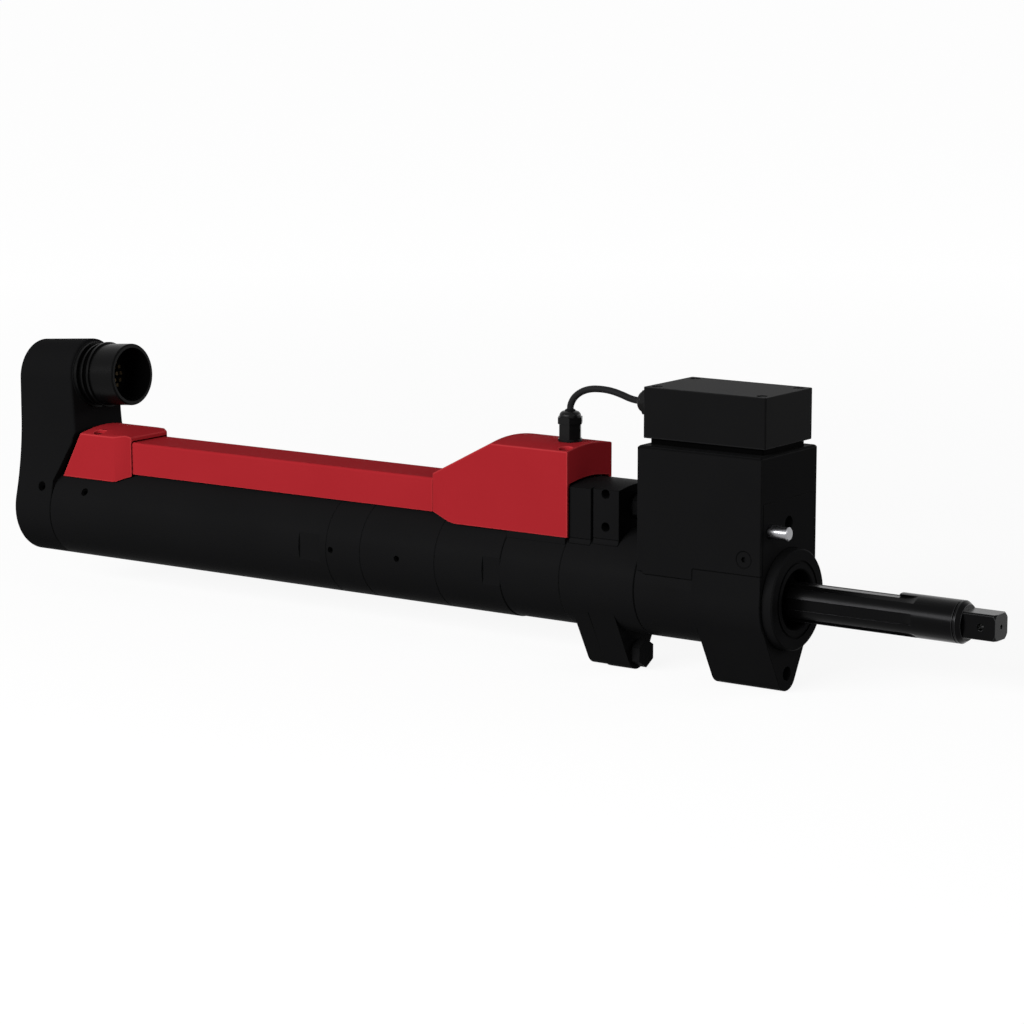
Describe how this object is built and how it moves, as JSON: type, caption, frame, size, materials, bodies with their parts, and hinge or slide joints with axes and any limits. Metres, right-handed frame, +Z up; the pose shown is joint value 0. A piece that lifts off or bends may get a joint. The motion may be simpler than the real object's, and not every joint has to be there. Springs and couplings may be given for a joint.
{
  "type": "fixtured tightening spindle",
  "caption": "Long round electric tightening spindle with planetary gearing, lozenge mounting flange, measuring block, red cable covers, tail connector and a telescopic splined square drive",
  "frame": {"origin": "centre of the pilot ring on the mounting face", "axes": "+X forward along the drive axis, out of the mounting face; +Z up, towards the connector and electronics box; +Y to the part's left as seen from behind"},
  "size_m": [0.901, 0.08, 0.2205],
  "materials": {
    "anodised_black": "black anodised, satin",
    "painted_black": "black paint, satin",
    "painted_red": "red paint, satin",
    "steel_black": "black oxide, lightly oiled",
    "screw_black": "black oxide",
    "bright_steel": "ground",
    "gear_steel": "machined",
    "bare_aluminium": "machined",
    "connector_black": "black, satin",
    "insert_black": "moulded",
    "contact_brass": "plated",
    "copper": "enamelled wire",
    "gland_black": "moulded",
    "board_green": "lacquered",
    "rubber_black": "moulded",
    "cable_grey": "extruded jacket"
  },
  "bodies": {
    "housing": {"rear_head": "painted_black", "head_screws": "screw_black", "connector_shell": "connector_black", "connector_insert": "insert_black", "connector_pins": "contact_brass", "motor_tube": "anodised_black", "tube_screws": "screw_black", "rear_bearing_plate": "bare_aluminium", "stator_core": "gear_steel", "stator_windings": "copper", "resolver_stator": "gear_steel", "motor_bearings": "gear_steel", "motor_adapter": "anodised_black", "gear_case_1": "steel_black", "gear_case_2": "steel_black", "case_set_screws": "screw_black", "transducer_body": "anodised_black", "transducer_saddle": "anodised_black", "mid_housing": "anodised_black", "flange_bolts": "screw_black", "front_housing": "anodised_black", "output_bearings": "gear_steel", "pilot_ring": "steel_black", "wiper_seal": "rubber_black", "dowel_pin": "bright_steel", "sensor_cover": "anodised_black", "sensor_cover_screws": "screw_black", "box_base": "anodised_black", "electronics_box": "painted_black", "box_screws": "screw_black", "circuit_board": "board_green", "front_cover": "painted_red", "cable_duct": "painted_red", "rear_cover": "painted_red", "rear_saddle": "anodised_black", "cover_screws": "screw_black", "wire_loom": "cable_grey", "cover_gland": "gland_black", "cover_gland_nut": "gland_black", "box_gland": "gland_black", "box_gland_nut": "gland_black", "sensor_cable": "cable_grey"},
    "rotor": {"rotor_shaft": "gear_steel", "rotor_magnets": "gear_steel", "resolver_rotor": "gear_steel"},
    "stage_1": {"carrier_1": "gear_steel", "planet_pins_1": "gear_steel"},
    "output": {"carrier_2": "gear_steel", "planet_pins_2": "gear_steel", "torque_shaft": "gear_steel", "drive_sleeve": "steel_black", "return_spring": "gear_steel"},
    "spindle": {"splined_spindle": "steel_black", "stop_ring": "gear_steel"},
    "planet_1a": {"planet_1a": "gear_steel"},
    "planet_1b": {"planet_1b": "gear_steel"},
    "planet_1c": {"planet_1c": "gear_steel"},
    "planet_2a": {"planet_2a": "gear_steel"},
    "planet_2b": {"planet_2b": "gear_steel"},
    "planet_2c": {"planet_2c": "gear_steel"}
  },
  "joints": [
    {"name": "rotor_spin", "type": "hinge", "parent": "housing", "child": "rotor", "pos_m": [0, 0, 0], "axis": [1, 0, 0], "continuous": true},
    {"name": "stage_1_spin", "type": "hinge", "parent": "housing", "child": "stage_1", "pos_m": [0, 0, 0], "axis": [1, 0, 0], "continuous": true},
    {"name": "output_spin", "type": "hinge", "parent": "housing", "child": "output", "pos_m": [0, 0, 0], "axis": [1, 0, 0], "continuous": true},
    {"name": "planet_1a_spin", "type": "hinge", "parent": "stage_1", "child": "planet_1a", "pos_m": [0, 0.0207, 0], "axis": [1, 0, 0], "continuous": true},
    {"name": "planet_1b_spin", "type": "hinge", "parent": "stage_1", "child": "planet_1b", "pos_m": [0, -0.01035, 0.01793], "axis": [1, 0, 0], "continuous": true},
    {"name": "planet_1c_spin", "type": "hinge", "parent": "stage_1", "child": "planet_1c", "pos_m": [0, -0.01035, -0.01793], "axis": [1, 0, 0], "continuous": true},
    {"name": "planet_2a_spin", "type": "hinge", "parent": "output", "child": "planet_2a", "pos_m": [0, 0.0207, 0], "axis": [1, 0, 0], "continuous": true},
    {"name": "planet_2b_spin", "type": "hinge", "parent": "output", "child": "planet_2b", "pos_m": [0, -0.01035, 0.01793], "axis": [1, 0, 0], "continuous": true},
    {"name": "planet_2c_spin", "type": "hinge", "parent": "output", "child": "planet_2c", "pos_m": [0, -0.01035, -0.01793], "axis": [1, 0, 0], "continuous": true},
    {"name": "spindle_slide", "type": "slide", "parent": "output", "child": "spindle", "axis": [1, 0, 0], "range_m": [-0.09, 0], "stiffness_N_per_m": 1500, "springref_m": 0.02, "deforming": ["return_spring"]}
  ],
  "couplings": [
    {"joint": "stage_1_spin", "follows": "rotor_spin", "ratio": 0.25},
    {"joint": "output_spin", "follows": "rotor_spin", "ratio": 0.0625},
    {"joint": "planet_1a_spin", "follows": "rotor_spin", "ratio": -0.75},
    {"joint": "planet_1b_spin", "follows": "rotor_spin", "ratio": -0.75},
    {"joint": "planet_1c_spin", "follows": "rotor_spin", "ratio": -0.75},
    {"joint": "planet_2a_spin", "follows": "rotor_spin", "ratio": -0.1875},
    {"joint": "planet_2b_spin", "follows": "rotor_spin", "ratio": -0.1875},
    {"joint": "planet_2c_spin", "follows": "rotor_spin", "ratio": -0.1875}
  ]
}
